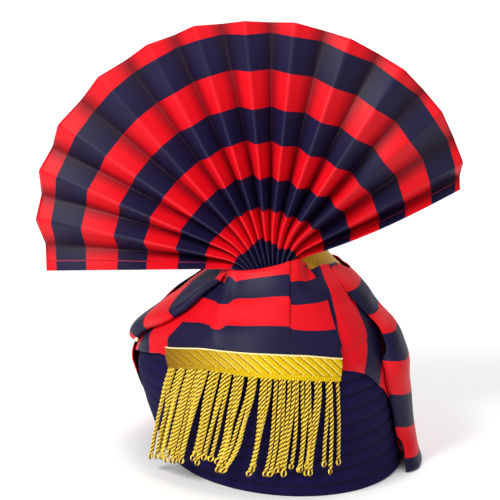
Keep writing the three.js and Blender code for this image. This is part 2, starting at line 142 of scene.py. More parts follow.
def form_normal(theta, rise):
    near = 0.2
    along = on_form(theta + near, rise) - on_form(theta - near, rise)
    up = on_form(theta, rise + near) - on_form(theta, rise - near)
    normal = np.cross(along, up)
    length = np.linalg.norm(normal, axis=-1, keepdims=True)
    return normal / np.maximum(length, 1e-9)


def off_form(theta, rise, out):
    return on_form(theta, rise) + form_normal(theta, rise) * np.asarray(out)[..., None]


def waves(points, size, seed):
    """Soft uneven waves from -1 to 1, of about this size in millimetres."""
    return np.array([noise.noise(Vector(p) / size + Vector((seed, 2 * seed, 0))) for p in points])


def lay_grid(shape, columns, rows, place):
    """Adds a grid, 0 to 1 across and up, whose points and chart place gives in millimetres."""
    made = bmesh.ops.create_grid(shape, x_segments=columns, y_segments=rows, size=0.5)["verts"]
    flat = np.array([corner.co[:2] for corner in made]) + 0.5
    points, along, over = place(flat[:, 0], flat[:, 1])
    spots = (points + rim_centre) * MM
    charted = {}
    for corner, spot, u, v in zip(made, spots, np.asarray(along) * MM, np.asarray(over) * MM):
        corner.co = spot
        charted[corner] = (u, v)
    chart = shape.loops.layers.uv.verify()
    for face in {face for corner in made for face in corner.link_faces}:
        face.smooth = True
        for loop in face.loops:
            loop[chart].uv = charted[loop.vert]
    return made


def piece_from(shape, name, closed=False):
    """Turns a bmesh into an object. The doubles of a closed shell are merged first."""
    if closed:
        bmesh.ops.remove_doubles(shape, verts=shape.verts, dist=0.00002)
        bmesh.ops.dissolve_degenerate(shape, dist=0.00001, edges=shape.edges)
        bmesh.ops.recalc_face_normals(shape, faces=shape.faces)
    shape.loops.layers.uv.verify()
    mesh = bpy.data.meshes.new(name)
    shape.to_mesh(mesh)
    shape.free()
    mesh.uv_layers[0].name = "cloth"
    piece = bpy.data.objects.new(name, mesh)
    bpy.context.scene.collection.objects.link(piece)
    return piece


def srgb(code):
    """A hex colour as linear red, green, blue and alpha."""
    parts = [int(code[i:i + 2], 16) / 255 for i in (1, 3, 5)]
    return [p / 12.92 if p <= 0.04045 else ((p + 0.055) / 1.055) ** 2.4 for p in parts] + [1]


def add(tree, kind, inputs, **settings):
    """Adds a shader node with its settings and inputs, and returns its outputs."""
    made = tree.nodes.new("ShaderNode" + kind)
    for name, value in settings.items():
        setattr(made, name, value)
    for socket, value in inputs.items():
        if isinstance(value, bpy.types.NodeSocket):
            tree.links.new(value, made.inputs[socket])
        else:
            made.inputs[socket].default_value = srgb(value) if isinstance(value, str) else value
    return made.outputs


def new_material(name, **sockets):
    """A material with its Principled shader, whose even values are set on its own sockets."""
    material = bpy.data.materials.new(name)
    material.use_nodes = True
    shader = material.node_tree.nodes["Principled BSDF"]
    for socket, value in sockets.items():
        shader.inputs[socket.replace("_", " ")].default_value = value
    return material, material.node_tree, shader


def quilted(rise, theta):
    """How far the stitch rows pull the quilting in. The left side is hardly quilted."""
    turns = np.abs(np.sin(np.pi * (rise - lowest_quilt_row) / quilt_row))
    dip = quilt_dip * (1 - turns ** 0.45)
    side = (np.asarray(theta) + 180) % 360 - 180
    strength = mix(least_quilting, 1, smooth(side, *left_fade) + smooth(-side, *back_fade))
    return dip * strength * smooth(rise, 0, lowest_quilt_row * 0.8)


def cap_outside(across, up):
    theta = 360 * across
    rise = crown_rise * up
    points = off_form(theta, rise, -quilted(rise, theta))
    wrinkle = wrinkle_height * waves(points * (1, 1, 2.2), size=15, seed=9) * smooth(rise, 2, 8)
    rounding = rim_rounding * (1 - smooth(rise, 0, 1.6))
    points = points + form_normal(theta, rise) * (wrinkle - rounding)[:, None]
    points[:, 2] = np.where(up < 1e-6, 0, points[:, 2])
    return points, rim_round * across, rise - lowest_quilt_row


def cap_inside(across, up):
    theta = 360 * across
    rise = crown_rise * (1 - up)
    points = off_form(theta, rise, -cap_wall)
    points[:, 2] = np.where(up > 1 - 1e-6, 0, points[:, 2])
    return points, rim_round * across, rise - lowest_quilt_row


def cap_dome(out, flip):
    """The closed top of the cap, at a distance out. A flipped one faces the head."""
    centre = read_at(head_form, "rise", crown_rise)
    tip = math.radians(centre["tip"])
    middle = np.array([centre["shift"], centre["back"], crown_rise])
    axis = np.array([-math.sin(tip), 0, math.cos(tip)])

    def place(across, up):
        up = 1 - up if flip else up
        ring = off_form(360 * across, np.full_like(across, crown_rise), out)
        share = (1 - up)[:, None]
        height = crown_dome * (1 - share ** 2) + out * (1 - share)
        points = middle + (ring - middle) * share + axis * height
        return points, rim_round * across, crown_rise + dome_reach * up
    return place


def cap_rim(across, up):
    theta = 360 * across
    points = off_form(theta, np.zeros_like(theta), mix(-cap_wall, -rim_rounding, up))
    points[:, 2] = 0
    return points, rim_round * across, np.full_like(across, -lowest_quilt_row)


shape = bmesh.new()
cap_columns = 192
lay_grid(shape, cap_columns, rows=150, place=cap_outside)
lay_grid(shape, cap_columns, rows=6, place=cap_dome(0, flip=False))
lay_grid(shape, cap_columns, rows=6, place=cap_dome(-cap_wall, flip=True))
lay_grid(shape, cap_columns, rows=20, place=cap_inside)
lay_grid(shape, cap_columns, rows=1, place=cap_rim)
cap = piece_from(shape, "cap_cloth", closed=True)

# Navy cotton drill: dull, finely woven, with painted shade in the quilting's valleys where the
# dashes of lockstitch lie.
cap_cotton, tree, shader = new_material("navy_cotton_drill", Roughness=0.9, Specular_IOR_Level=0.1)
chart = add(tree, "UVMap", {}, uv_map="cloth")[0]
parts = add(tree, "SeparateXYZ", {0: chart})
stitch_length = 0.0032
dash = add(tree, "Math", {0: parts[0], 1: stitch_length}, operation="FLOORED_MODULO")[0]
dash = add(tree, "Math", {0: dash, 1: stitch_length * 0.68}, operation="LESS_THAN")[0]
row = add(tree, "Math", {0: parts[1], 1: quilt_row * MM}, operation="DIVIDE")[0]
row = add(tree, "Math", {0: row, 1: 0.5}, operation="ADD")[0]
row = add(tree, "Math", {0: row}, operation="FRACT")[0]
row = add(tree, "Math", {0: row, 1: 0.5}, operation="SUBTRACT")[0]
row = add(tree, "Math", {0: row}, operation="ABSOLUTE")[0]
# Painted shade: the cloth is darkened next to each stitch row, down in the quilting's valleys.
valley = add(tree, "MapRange", {0: row, 1: 0.02, 2: 0.14, 3: 0.75, 4: 0.0})[0]
row = add(tree, "Math", {0: row, 1: 0.03}, operation="LESS_THAN")[0]
stitch = add(tree, "Math", {0: dash, 1: row}, operation="MULTIPLY")[0]
place = add(tree, "TexCoord", {})["Object"]
cloudy = add(tree, "TexNoise", {"Vector": place, "Scale": 1 / 0.03, "Detail": 3})[0]
weave = add(tree, "TexNoise", {"Vector": place, "Scale": 1 / 0.0009, "Detail": 2})[0]
navy = add(tree, "Mix", {0: cloudy, 6: "#120a32", 7: "#1d1444"}, data_type="RGBA")[2]
navy = add(tree, "Mix", {0: valley, 6: navy, 7: "#05040a"}, data_type="RGBA")[2]
navy = add(tree, "Mix", {0: stitch, 6: navy, 7: "#221d36"}, data_type="RGBA")[2]
tree.links.new(navy, shader.inputs["Base Color"])
height = add(tree, "Math", {0: stitch, 1: 1.5, 2: weave}, operation="MULTIPLY_ADD")[0]
relief = add(tree, "Bump", {"Height": height, "Distance": 0.0003, "Strength": 0.5})[0]
tree.links.new(relief, shader.inputs["Normal"])

cap.data.materials.append(cap_cotton)
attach(cap, "root")
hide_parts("cap")


# Kullah: the cone at the crown that the cloth is tied round, of gold brocade over buckram.
# The ribbed brocade shows beside the fan's foot, and its lower edge is bound.
kullah_wall = 2.0
layer_gap = 0.6
kullah_foot = 128.0
kullah_top = 180.0
kullah_round = 2 * math.pi * 50
kullah_slant = 1.4


def kullah_layer(out, flip):
    """One face of the cone, at a distance out. A flipped one faces the cap."""
    def place(across, up):
        up = 1 - up if flip else up
        theta = 360 * across
        rise = mix(kullah_foot, kullah_top, up)
        points = off_form(theta, rise, np.full_like(theta, out))
        return points, kullah_round * across, (rise - kullah_foot) * kullah_slant
    return place


def kullah_edge(across, up):
    theta = 360 * across
    out = mix(layer_gap, layer_gap + kullah_wall, up)
    points = off_form(theta, np.full_like(theta, kullah_foot), out)
    return points, kullah_round * across, np.zeros_like(across)


shape = bmesh.new()
kullah_columns = 96
lay_grid(shape, kullah_columns, rows=48, place=kullah_layer(layer_gap + kullah_wall, flip=False))
lay_grid(shape, kullah_columns, rows=48, place=kullah_layer(layer_gap, flip=True))
lay_grid(shape, kullah_columns, rows=1, place=kullah_edge)
kullah = piece_from(shape, "kullah_cloth", closed=True)

# Gold brocade: gilt thread laid in fine slanting ribs, coloured brighter and darker in lines as a
# painted glint over the threads' uneven tone, with a darker bound edge at its foot. A wave texture
# of scale 1 has about 3.1 ribs to the metre.
ribs_at_scale_one = 3.1
gold_brocade, tree, shader = new_material("gilt_brocade", Roughness=0.45, Specular_IOR_Level=0.3)
chart = add(tree, "UVMap", {}, uv_map="cloth")[0]
parts = add(tree, "SeparateXYZ", {0: chart})
turned = add(tree, "Mapping", {"Vector": chart, "Rotation": (0, 0, math.radians(35))})[0]
rib = add(tree, "TexWave", {"Vector": turned, "Scale": 1 / 0.0016 / ribs_at_scale_one, "Distortion": 0.6})[0]
speck = add(tree, "TexNoise", {"Vector": turned, "Scale": 1 / 0.0012, "Detail": 2})[0]
# Painted glint: the ribs' wave colours the gold bright and dark in lines, over the threads' uneven tone.
weave_and_painted_glint = add(tree, "Math", {0: rib, 1: 0.7, 2: speck}, operation="MULTIPLY_ADD")[0]
weave_and_painted_glint = add(tree, "Math", {0: weave_and_painted_glint, 1: 0.3}, operation="SUBTRACT")[0]
gold = add(tree, "Mix", {0: weave_and_painted_glint, 6: "#8c5c00", 7: "#e8b010"}, data_type="RGBA")[2]
bound = add(tree, "Math", {0: parts[1], 1: 0.004}, operation="LESS_THAN")[0]
gold = add(tree, "Mix", {0: bound, 6: gold, 7: "#6d4208"}, data_type="RGBA")[2]
tree.links.new(gold, shader.inputs["Base Color"])
relief = add(tree, "Bump", {"Height": rib, "Distance": 0.0004, "Strength": 0.8})[0]
tree.links.new(relief, shader.inputs["Normal"])

kullah.data.materials.append(gold_brocade)
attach(kullah, "root")
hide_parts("kullah")


# Right wrap: the first turn of the cloth, laid flat from the crown down the right side with
# its stripes running down, and cut to an arched hem. It is the striped satin of every wrap.
cloth_wall = 1.4
thin_wall = 0.9 * MM
stripe = 25.4
hem_depth = 8.0
no_hem = 1000.0

wrap_edges = table(
    "theta bottom top",
    (34, 84, 137), (44, 81.5, 139), (57, 75, 139), (67, 64, 138),
    (76, 53, 134), (81, 36, 131.5), (86, 8, 129), (98, 3, 126),
)
wrap_stripes = table(
    "rise first second third fourth fifth",
    (0, 38, 56, 70, 78, 84),
    (20, 38, 56, 70, 77, 84),
    (32, 38, 56, 69, 76, 88),
    (50, 38, 56.5, 68, 77, 92),
    (65, 39, 57.5, 68.5, 83, 96),
    (77, 40, 58, 76, 88, 99),
    (85.5, 41, 62, 80, 92, 103),
    (90, 42, 65, 83, 95, 106),
    (94, 48, 67.5, 85, 97, 108),
    (101, 48.5, 70, 87, 99, 110),
    (112, 51.5, 73, 91, 103, 115),
    (119, 52.5, 75, 93, 105, 117),
    (127, 53, 79, 94, 106, 119),
    (142, 56, 80, 95, 107, 120),
)
# The cloth has a crease across it here, and swells a little above and below.
crease_rise = 91.0
crease_middle = 60
crease_slope = 0.12
crease_swell = 1.6
crease_width = 3.5
crease_start = (49, 55)
crease_end = (66, 72)
wrap_step = (114, 126)
cloth_to_rise = 1.3


def crown_step(rise):
    """The wraps rise over the kullah's skirt near the crown."""
    return (kullah_wall + layer_gap) * smooth(rise, *wrap_step)


def band(value, edges):
    """Stripe count at a value, 1 at the first edge, 2 at the second and so on."""
    widths = [after - before for before, after in zip(edges, edges[1:])]
    count = 1 + (value - edges[0]) / widths[0]
    for number, (edge, width) in enumerate(zip(edges, widths)):
        count = np.where(value >= edge, number + 1 + (value - edge) / width, count)
    return count


def stripe_edges(chart, key, wanted):
    """Where the stripes meet, from the first column of a table to the last."""
    lines = read(chart, key, wanted)
    return [lines[name] for name in chart if name != key]


def place_wrap(across, up):
    theta = mix(wrap_edges["theta"][0], wrap_edges["theta"][-1], across)
    edge = read(wrap_edges, "theta", theta)
    rise = mix(edge["bottom"], edge["top"], up)
    base = layer_gap + cloth_wall / 2 + crown_step(rise)
    apart = np.abs(rise - crease_rise - (theta - crease_middle) * crease_slope)
    free = smooth(theta, *crease_start) * (1 - smooth(theta, *crease_end))
    swell = crease_swell * free * (1 - np.exp(-apart / crease_width)) * smooth(up, 0, 0.1)
    points = off_form(theta, rise, base + swell)
    phase = band(theta, stripe_edges(wrap_stripes, "rise", rise))
    return points, no_hem + rise * cloth_to_rise, phase * stripe


def lay_sheet(name, columns, rows, place, thickness=thin_wall, offset=0):
    """Lays a sheet with its wall, half to each side at offset 0 and all behind it at -1."""
    shape = bmesh.new()
    lay_grid(shape, columns, rows, place)
    sheet = piece_from(shape, name)
    wall = sheet.modifiers.new("wall", "SOLIDIFY")
    wall.thickness = thickness
    wall.offset = offset
    return sheet


wrap = lay_sheet("right_wrap_cloth", columns=130, rows=110, place=place_wrap)

# Polyester satin, dyed in red and navy stripes an inch wide. Its long floats give a soft
# directional sheen, and its thread is drawn at 0.5 mm, coarser than real, so that it shows.
# The chart's first way is the distance from a stitched hem, and its second counts stripes.
# The fan's valleys are darkened, for the deep shade between its pleats.
hem_thread = 0.3
striped_satin, tree, shader = new_material("striped_satin", Roughness=0.5, Specular_IOR_Level=0.18)
chart = add(tree, "UVMap", {}, uv_map="cloth")[0]
parts = add(tree, "SeparateXYZ", {0: chart})
count = add(tree, "Math", {0: parts[1], 1: stripe * MM}, operation="DIVIDE")[0]
count = add(tree, "Math", {0: count}, operation="FLOOR")[0]
is_red = add(tree, "Math", {0: count, 1: 2.0}, operation="FLOORED_MODULO")[0]
place = add(tree, "TexCoord", {})["Object"]
cloudy = add(tree, "TexNoise", {"Vector": place, "Scale": 1 / 0.025, "Detail": 4})[0]
red = add(tree, "Mix", {0: cloudy, 6: "#c80416", 7: "#de0a1a"}, data_type="RGBA")[2]
navy = add(tree, "Mix", {0: cloudy, 6: "#120e2b", 7: "#1b163b"}, data_type="RGBA")[2]
dye_and_painted_shade = add(tree, "Mix", {0: is_red, 6: navy, 7: red}, data_type="RGBA")[2]
hem = add(tree, "Math", {0: parts[0], 1: hem_depth * MM}, operation="SUBTRACT")[0]
hem = add(tree, "Math", {0: hem}, operation="ABSOLUTE")[0]
hem = add(tree, "Math", {0: hem, 1: hem_thread * MM}, operation="LESS_THAN")[0]
thread = add(tree, "Mix", {0: is_red, 6: "#a42a3c", 7: "#8c0410"}, data_type="RGBA")[2]
dye_and_painted_shade = add(tree, "Mix", {0: hem, 6: dye_and_painted_shade, 7: thread}, data_type="RGBA")[2]
# Painted shade: the cloth is darkened where it lies deep in a fold of the fan.
fold = add(tree, "Attribute", {}, attribute_name="fold")["Fac"]
fold = add(tree, "MapRange", {0: fold, 1: 0.45, 2: 1.0, 3: 0.0, 4: 0.75})[0]
dye_and_painted_shade = add(tree, "Mix", {0: fold, 6: dye_and_painted_shade, 7: "#16000c"}, data_type="RGBA")[2]
tree.links.new(dye_and_painted_shade, shader.inputs["Base Color"])
floats = add(tree, "Mapping", {"Vector": chart, "Scale": (1, 0.35, 1)})[0]
weave = add(tree, "TexNoise", {"Vector": floats, "Scale": 1 / 0.0005, "Detail": 2})[0]
relief = add(tree, "Bump", {"Height": weave, "Distance": 0.0001, "Strength": 0.4})[0]
tree.links.new(relief, shader.inputs["Normal"])

wrap.data.materials.append(striped_satin)
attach(wrap, "root")
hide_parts("right_wrap")


# Front flap: the striped satin laid across the brow, folded once softly at the left and once
# sharply at the right, tucked in at the crown, and turned down behind a mitred fold.
flap_left = -86
flap_low = 80
flap_high = 143
flap_ripple = 0.35
flap_cloth_to_degree = 1.5
flap_edges = table(
    "theta bottom top",
    (-86, 72, 95), (-76, 77, 107), (-66, 81.5, 118), (-57, 85, 134), (-48, 88, 137.5),
    (-30, 87, 138), (-12, 88, 139), (12, 86, 141), (30, 82, 144), (48, 79, 143),
)
flap_right = table(
    "rise theta",
    (80, 43), (88, 45), (109, 47), (121, 48), (133, 45), (143, 39),
)
soft_pleat = table(
    "rise theta height",
    (100, -19, 0), (110, -22, 2), (125, -27, 3), (140, -33, 3),
)
knife_pleat = dict(theta=20, step=1.8, start=100, full=118)
fan_pocket = dict(half_angle=26, fade=14, start=125, full=138, depth=8)

# Where the bands of colour meet across the brow, and how far the mitre turns them down.
flap_stripes = table(
    "theta first second third",
    (-60, 134, 124, 109),
    (-43, 134, 124, 111),
    (-33, 133.7, 123.5, 112.5),
    (-26, 133.5, 121.5, 111.5),
    (-22, 132.5, 122.5, 109.6),
    (-19, 133, 125.8, 109.6),
    (-15.5, 133.4, 126.5, 113),
    (0, 134.3, 126.5, 112.6),
    (19.5, 134, 125.5, 110.6),
    (21.5, 131.5, 121.7, 109.5),
    (32, 131.5, 120.8, 106.6),
    (43, 132.3, 120, 104.5),
    (50, 132.3, 120, 103.5),
)
mitre_stripes = table(
    "rise first second third",
    (76, -74, -56, -36),
    (84.5, -78, -58, -41),
    (90.5, -79, -66, -44.5),
    (93.5, -79.5, -70.5, -46),
    (99, -80, -71, -50),
    (110, -82, -73, -48),
    (122, -84, -76, -50),
)


def flap_out(theta, rise):
    """How far out the flap lies, with its two pleats and the pocket that the fan stands in."""
    soft = read(soft_pleat, "rise", rise)
    fold = soft["height"] * np.exp(-((theta - soft["theta"]) / 5) ** 2)
    depth = knife_pleat["step"] * smooth(rise, knife_pleat["start"], knife_pleat["full"])
    on_top = 1 - smooth(theta, knife_pleat["theta"], knife_pleat["theta"] + 1)
    fading = smooth(theta, knife_pleat["theta"] - 30, knife_pleat["theta"])
    reach = smooth(rise, fan_pocket["start"], fan_pocket["full"])
    beside = (np.abs(theta) - fan_pocket["half_angle"]) / fan_pocket["fade"]
    mouth = fan_pocket["depth"] * reach * (1 - smooth(beside, 0, 1))
    base = 2 * layer_gap + 1.5 * cloth_wall + crown_step(rise)
    return base + fold + depth * on_top * fading + mouth


def place_flap(across, up):
    guess = mix(flap_low, flap_high, up)
    theta = mix(flap_left, read(flap_right, "rise", guess)["theta"], across)
    edge = read(flap_edges, "theta", theta)
    rise = mix(edge["bottom"], edge["top"], up)
    points = off_form(theta, rise, flap_out(theta, rise))
    ripple = flap_ripple * waves(points, size=16, seed=3) * smooth(np.minimum(up, 1 - up), 0, 0.15)
    points = points + form_normal(theta, rise) * ripple[:, None]
    front = 4 - band(rise, stripe_edges(flap_stripes, "theta", theta)[::-1])
    side = band(theta, stripe_edges(mitre_stripes, "rise", rise))
    phase = np.minimum(np.clip(front, 0.05, 3.95), side) - 1
    return points, no_hem + theta * flap_cloth_to_degree, phase * stripe


flap = lay_sheet("front_flap_cloth", columns=260, rows=90, place=place_flap)

flap.data.materials.append(striped_satin)
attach(flap, "root")
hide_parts("front_flap")


# Left roll: the same satin folded into a soft padded roll over the upper left, its lower edge
# turned under, with its stripes running along it to the corner that the pearl pin holds.
roll_edges = table(
    "along low_theta low top_theta top puff",
    (0, -42, 134, -41, 143, 1),
    (0.14, -46, 126, -46, 143, 3),
    (0.3, -51, 116, -53, 142, 4.5),
    (0.46, -60, 105, -62, 140, 4.5),
    (0.64, -74, 94, -76, 139, 6),
    (0.8, -88, 77, -90, 138, 8.2),
    (0.9, -98, 87, -99, 137, 3.5),
    (1, -108, 92, -108, 137, 0),
)
roll_stripes = table(
    "up first second third fourth",
    (0, 0.02, 0.39, 0.65, 0.73),
    (0.14, 0.05, 0.45, 0.67, 0.79),
    (0.35, 0.12, 0.54, 0.735, 0.88),
    (0.52, 0.2, 0.61, 0.79, 0.93),
    (0.66, 0.23, 0.645, 0.83, 0.96),
    (0.84, 0.27, 0.7, 0.9, 0.98),
    (1, 0.3, 0.74, 0.93, 1.01),
)
roll_length = 120


def roll_spot(across, up):
    """Theta, rise and distance out of the roll's cloth."""
    edge = read(roll_edges, "along", across)
    theta = mix(edge["low_theta"], edge["top_theta"], up)
    rise = mix(edge["low"], edge["top"], up)
    over_flap = 1 - smooth(across, 0.8, 0.95)
    base = 2 * layer_gap + 1.5 * cloth_wall + over_flap * (layer_gap + cloth_wall) + crown_step(rise)
    puff = np.sin(np.pi * np.minimum(1, 0.03 + up ** 0.35 * 0.97)) ** 2
    return theta, rise, base + edge["puff"] * puff


def place_roll(across, up):
    along = 1 - across
    theta, rise, out = roll_spot(along, up)
    points = off_form(theta, rise, out)
    phase = band(along, stripe_edges(roll_stripes, "up", up)) - 1
    return points, no_hem + along * roll_length, phase * stripe


roll = lay_sheet("left_roll_cloth", columns=120, rows=60, place=place_roll)

roll.data.materials.append(striped_satin)
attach(roll, "root")
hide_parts("left_roll")


# Shamla: the long end of the same satin that falls over the back in soft folds. At the right
# its front edge is turned into a roll, with the stripes lying across it.
shamla_right = table(
    "rise theta out",
    (0, 74, 15), (8, 76.5, 14), (22, 80, 13.2), (34, 79, 13.5), (52, 76.5, 14),
    (68, 74, 15), (80, 73, 14), (90, 75, 12), (103, 78, 5.5), (112, 74.5, 6.3),
    (120, 70.5, 6.3), (131, 66.5, 6), (139, 69, 6),
)
shamla_left = table(
    "rise theta out",
    (0, 252, 4), (24, 266, 2.2), (38, 275, 2), (50, 277, 2.6), (61, 277, 3.4),
    (69, 276, 5), (77, 265, 6.5), (90, 258, 8.5), (105, 256, 8.5), (142, 252, 8.5),
)
shamla_folds = table(
    "theta out",
    (90, 12), (103, 10), (116, 6), (130, 12), (146, 6.5), (161, 13), (177, 7),
    (193, 13), (208, 6.5), (223, 11), (238, 6.5), (252, 9), (276, 9),
)
shamla_hem = table(
    "theta bottom top",
    (66, 0.5, 137.5), (78, 0.6, 136), (87, 0.8, 131), (95, 1, 127), (118, 3, 125),
    (145, 4.5, 130), (180, 6, 138), (230, 9, 139), (280, 10, 139),
)
shamla_stripes = table(
    "theta first second third fourth fifth sixth seventh",
    (70, 9, 29, 52, 73, 88, 101.5, 118),
    (90, 7, 25, 48, 71, 88, 100.5, 118),
    (130, 8, 28, 50, 72, 91, 106, 121),
    (180, 14, 36, 56, 77, 96, 111, 124),
    (230, 18, 40, 58, 79, 99, 113, 126),
    (276, 21, 38, 57, 74, 86, 108, 124),
)
turn_width = 10
left_width = 22
back_folds_start = (92, 112)
folds_at_crown = 0.5
plumb_below = 30
tail_low = 3
tail_high = 141
tail_ripple = 0.4
tail_cloth_to_degree = 1.7


def shamla_out(theta, rise):
    """How far out the tail lies: turned at the right, in folds behind, flat at the left."""
    right = read(shamla_right, "rise", rise)
    left = read(shamla_left, "rise", rise)
    lowest = 2 * layer_gap + 1.5 * cloth_wall + crown_step(rise)
    height = np.clip(rise / crown_rise, 0, 1)
    folds = read(shamla_folds, "theta", theta)["out"] * mix(1, folds_at_crown, height ** 2)
    from_right = np.clip((theta - right["theta"]) / turn_width, 0, 1)
    turned = np.sqrt(1 - (1 - from_right) ** 2)
    rolled = mix(lowest, right["out"], turned)
    behind = mix(rolled, np.maximum(folds, lowest), smooth(theta, *back_folds_start))
    return mix(left["out"], behind, smooth(left["theta"] - theta, 0, left_width))


def place_shamla(across, up):
    guess = mix(tail_low, tail_high, up)
    start = read(shamla_right, "rise", guess)["theta"]
    end = read(shamla_left, "rise", guess)["theta"]
    # A fifth of the grid's columns lie close together in the turned edge.
    spread = np.where(across < 0.2, across ** 2 * 2.25, mix(0.09, 1, (across - 0.2) / 0.8))
    theta = mix(start, end, spread)
    edge = read(shamla_hem, "theta", theta)
    rise = mix(edge["bottom"], edge["top"], up)
    out = shamla_out(theta, rise)
    points = off_form(theta, rise, out)
    points[:, 2] -= form_normal(theta, rise)[:, 2] * out * (1 - smooth(rise, 0, plumb_below))
    ripple = tail_ripple * waves(points, size=18, seed=5) * smooth(np.minimum(up, 1 - up), 0, 0.1)
    points = points + form_normal(theta, rise) * ripple[:, None]
    # The bands lie level across the turned edge.
    right = read(shamla_right, "rise", rise)
    on_edge = 1 - smooth(theta - right["theta"], turn_width, turn_width + 4)
    raised = form_normal(theta, rise)[:, 2] * (right["out"] - out)
    level = rise - raised * on_edge * smooth(rise, 0, plumb_below)
    phase = band(level, stripe_edges(shamla_stripes, "theta", theta))
    return points, no_hem + theta * tail_cloth_to_degree, phase * stripe


shamla = lay_sheet("shamla_cloth", columns=300, rows=110, place=place_shamla)

shamla.data.materials.append(striped_satin)
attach(shamla, "root")
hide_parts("shamla")


# Turra: a length of the striped satin, starched, pressed into knife pleats, gathered at its
# foot and set upright in front of the kullah, so that its stripes stand as rings.
crown_lean = 14.5
fan_foot = np.array([-18.0, -50.0, 150.0])
fan_foot_half_width = 16
fan_middle_angle = 92
fan_half_angle = 85
fan_pleats = table(
    "number angle length sag",
    (0, 177, 186, 0),
    (1, 164, 191, 0),
    (2, 152, 193.5, 0),
    (3, 140, 192, 0),
    (4, 125, 188.5, 0),
    (5, 111, 184.5, 0),
    (6, 99, 182.5, 0),
    (7, 87, 178, 0),
    (8, 75, 177, 0),
    (9, 61, 175, 0),
    (10, 46, 174, 0),
    (11, 31, 173, 0),
    (12, 15, 173.5, 1.5),
    (13, 7, 168, 5),
)
pleat_count = fan_pleats["number"][-1]
fan_lean = table(
    "angle back",
    (7, 33.5), (50, 17), (92, 12), (135, 13.5), (177, 18),
)
fan_rows = table(
    "share depth",
    (0, 3), (0.09, 6.5), (0.22, 14), (0.38, 18), (0.57, 16), (0.78, 13), (1, 10),
)
fan_tuck = 5
fan_gather = 0.2
valley_step = 2.5
crease_share = 0.07
crease_pull = 0.1
# How far in from the rim each ring of colour ends, round the fan.
fan_rings = table(
    "number first second third fourth fifth sixth seventh",
    (0, 9, 35, 61.5, 86, 112, 135, 157),
    (1, 13, 38.5, 66, 91, 117, 141, 166),
    (3, 16, 44, 71.5, 98, 123.5, 148, 171.5),
    (5, 12.5, 41, 68, 94, 119, 142.5, 164),
    (7, 10, 36.5, 64, 89, 114.5, 137.5, 158),
    (9, 10.5, 37.5, 64, 89.5, 114.5, 136.5, 159),
    (11, 8, 33, 58, 82.5, 107, 130, 153.5),
    (12, 7.5, 31, 55.5, 79, 104, 127, 152),
    (13, 4.5, 26.5, 50, 73.5, 99, 122, 147),
)


def fold_depth(number):
    """How deep a place lies in its fold, from 0 at a near edge to 1 at a valley."""
    return 1 - np.abs((number % 1) * 2 - 1)


def fan_line(number, share):
    """A point of the unrounded pleats, where whole numbers are the near edges."""
    angle = np.interp(number, fan_pleats["number"], fan_pleats["angle"])
    behind = fold_depth(number)
    length = np.interp(number, fan_pleats["number"], fan_pleats["length"]) - behind * valley_step
    sag = np.interp(number, fan_pleats["number"], fan_pleats["sag"])
    back = np.radians(read(fan_lean, "angle", angle)["back"])
    depth = np.interp(share, fan_rows["share"], fan_rows["depth"])
    turn = np.radians(angle)
    reach = length * share
    gathered = np.maximum(0, 1 - share / fan_gather) ** 2
    foot_x = fan_foot_half_width * (fan_middle_angle - angle) / fan_half_angle
    x = reach * np.cos(back) * np.cos(turn) + gathered * foot_x
    drop = gathered * fan_tuck + sag * np.sin(np.pi * share)
    z = reach * np.cos(back) * np.sin(turn) - drop
    y = reach * np.sin(back) + behind * depth
    return np.stack((x, y, z), -1)


def fan_point(number, share):
    """Each face of a pleat is flat, so it is a straight line between its two creases."""
    low = np.floor(number * 2) / 2
    low = np.minimum(low, pleat_count - 0.5)
    part = ((number - low) * 2)[:, None]
    return mix(fan_line(low, share), fan_line(low + 0.5, share), part)


def face_width(edge, valley, share):
    """The width of a pleat's face at each share of its length."""
    near = fan_line(np.full_like(share, edge), share)
    far = fan_line(np.full_like(share, valley), share)
    return np.linalg.norm(far - near, axis=-1)


def pleat_number(across):
    """Counts pleats across the grid, with more of its columns beside the creases."""
    faces = 2 * pleat_count
    face = np.minimum(np.floor(across * faces), faces - 1)
    part = across * faces - face
    part = part - crease_pull * np.sin(2 * np.pi * part)
    return pleat_count * ((face + part) / faces)


def place_fan(across, up):
    number = pleat_number(across)
    total = 0
    steps = (-1, -0.5, 0, 0.5, 1)
    for step in steps:
        total = total + fan_point(np.clip(number + step * crease_share / 2, 0, pleat_count), up)
    x, y, z = (total / len(steps)).T
    lean = math.radians(crown_lean)
    columns = (x * math.cos(lean) - z * math.sin(lean), y, x * math.sin(lean) + z * math.cos(lean))
    points = fan_foot + np.stack(columns, -1)
    length = np.interp(number, fan_pleats["number"], fan_pleats["length"])
    behind = fold_depth(number)
    down = length - (length - behind * valley_step) * up
    phase = 1 + band(down, stripe_edges(fan_rings, "number", number))
    first_face = face_width(0, 0.5, up)
    last_face = face_width(pleat_count, pleat_count - 0.5, up)
    hem = np.minimum(2 * number * first_face, 2 * (pleat_count - number) * last_face)
    return points, hem, phase * stripe


fan_columns = 260
fan = lay_sheet("turra_cloth", fan_columns, rows=70, place=place_fan)
# The satin reads how deep each corner lies in its fold.
column = np.arange(len(fan.data.vertices)) % (fan_columns + 1) / fan_columns
fold = fan.data.attributes.new("fold", "FLOAT", "POINT")
fold.data.foreach_set("value", fold_depth(pleat_number(column)))

fan.data.materials.append(striped_satin)
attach(fan, "root")
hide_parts("turra")


